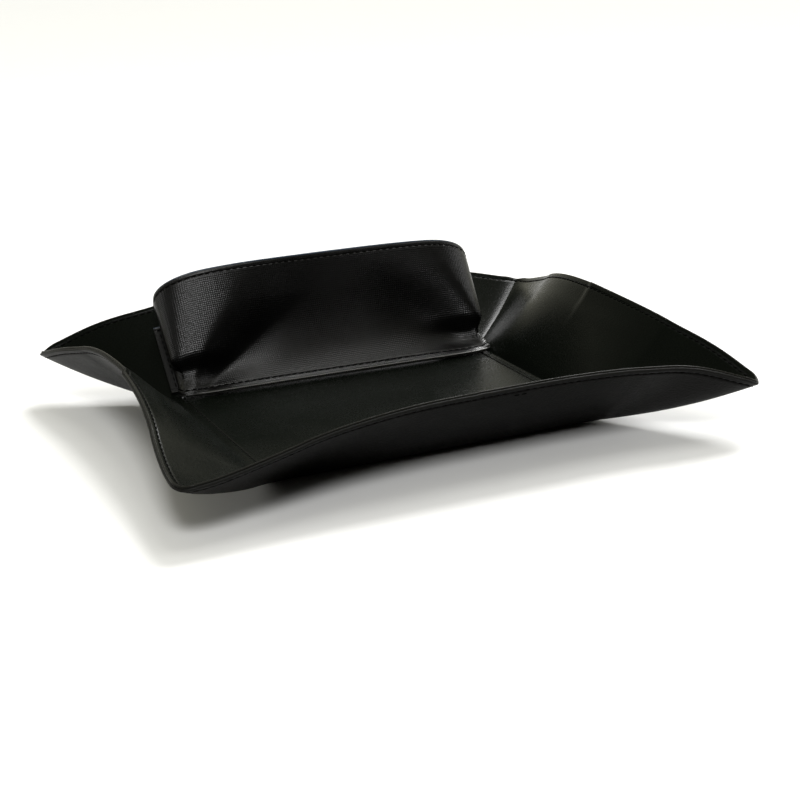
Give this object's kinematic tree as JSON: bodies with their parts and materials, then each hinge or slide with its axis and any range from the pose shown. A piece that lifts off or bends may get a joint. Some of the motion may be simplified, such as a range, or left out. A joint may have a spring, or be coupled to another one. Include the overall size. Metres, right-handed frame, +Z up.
{
  "type": "leather valet tray",
  "caption": "Rectangular catch-all tray of stitched black leather with leaning walls, corners folded into ears and a standing leather band along its back wall.",
  "frame": {"origin": "on the table under the middle of the base, at the lowest point of the bottom panel", "axes": "+X along the tray's length to its right, +Y to the back, where the band stands, +Z up"},
  "size_m": [0.2298, 0.2009, 0.0538],
  "materials": {
    "outer_leather": "fine-grained black leather, low sheen, slightly polished along its edges",
    "lining_leather": "smooth black calf lining, soft semi-gloss",
    "bottom_leather": "matt black split leather",
    "band_leather": "cross-grained black leather, semi-gloss",
    "board": "plain bonded fibre board",
    "thread": "waxed black sewing thread"
  },
  "bodies": {
    "root": {"bottom_panel": "bottom_leather", "outer_leather": "outer_leather", "base_board": "board", "front_board": "board", "back_board": "board", "left_board": "board", "right_board": "board", "lining": "lining_leather", "rim_thread": "thread", "base_thread": "thread", "band_leather": "band_leather", "band_core": "board", "band_lining": "lining_leather", "band_top_thread": "thread", "band_foot_thread": "thread", "left_tab_thread": "thread", "right_tab_thread": "thread", "left_bar_tack": "thread", "right_bar_tack": "thread"}
  },
  "joints": []
}
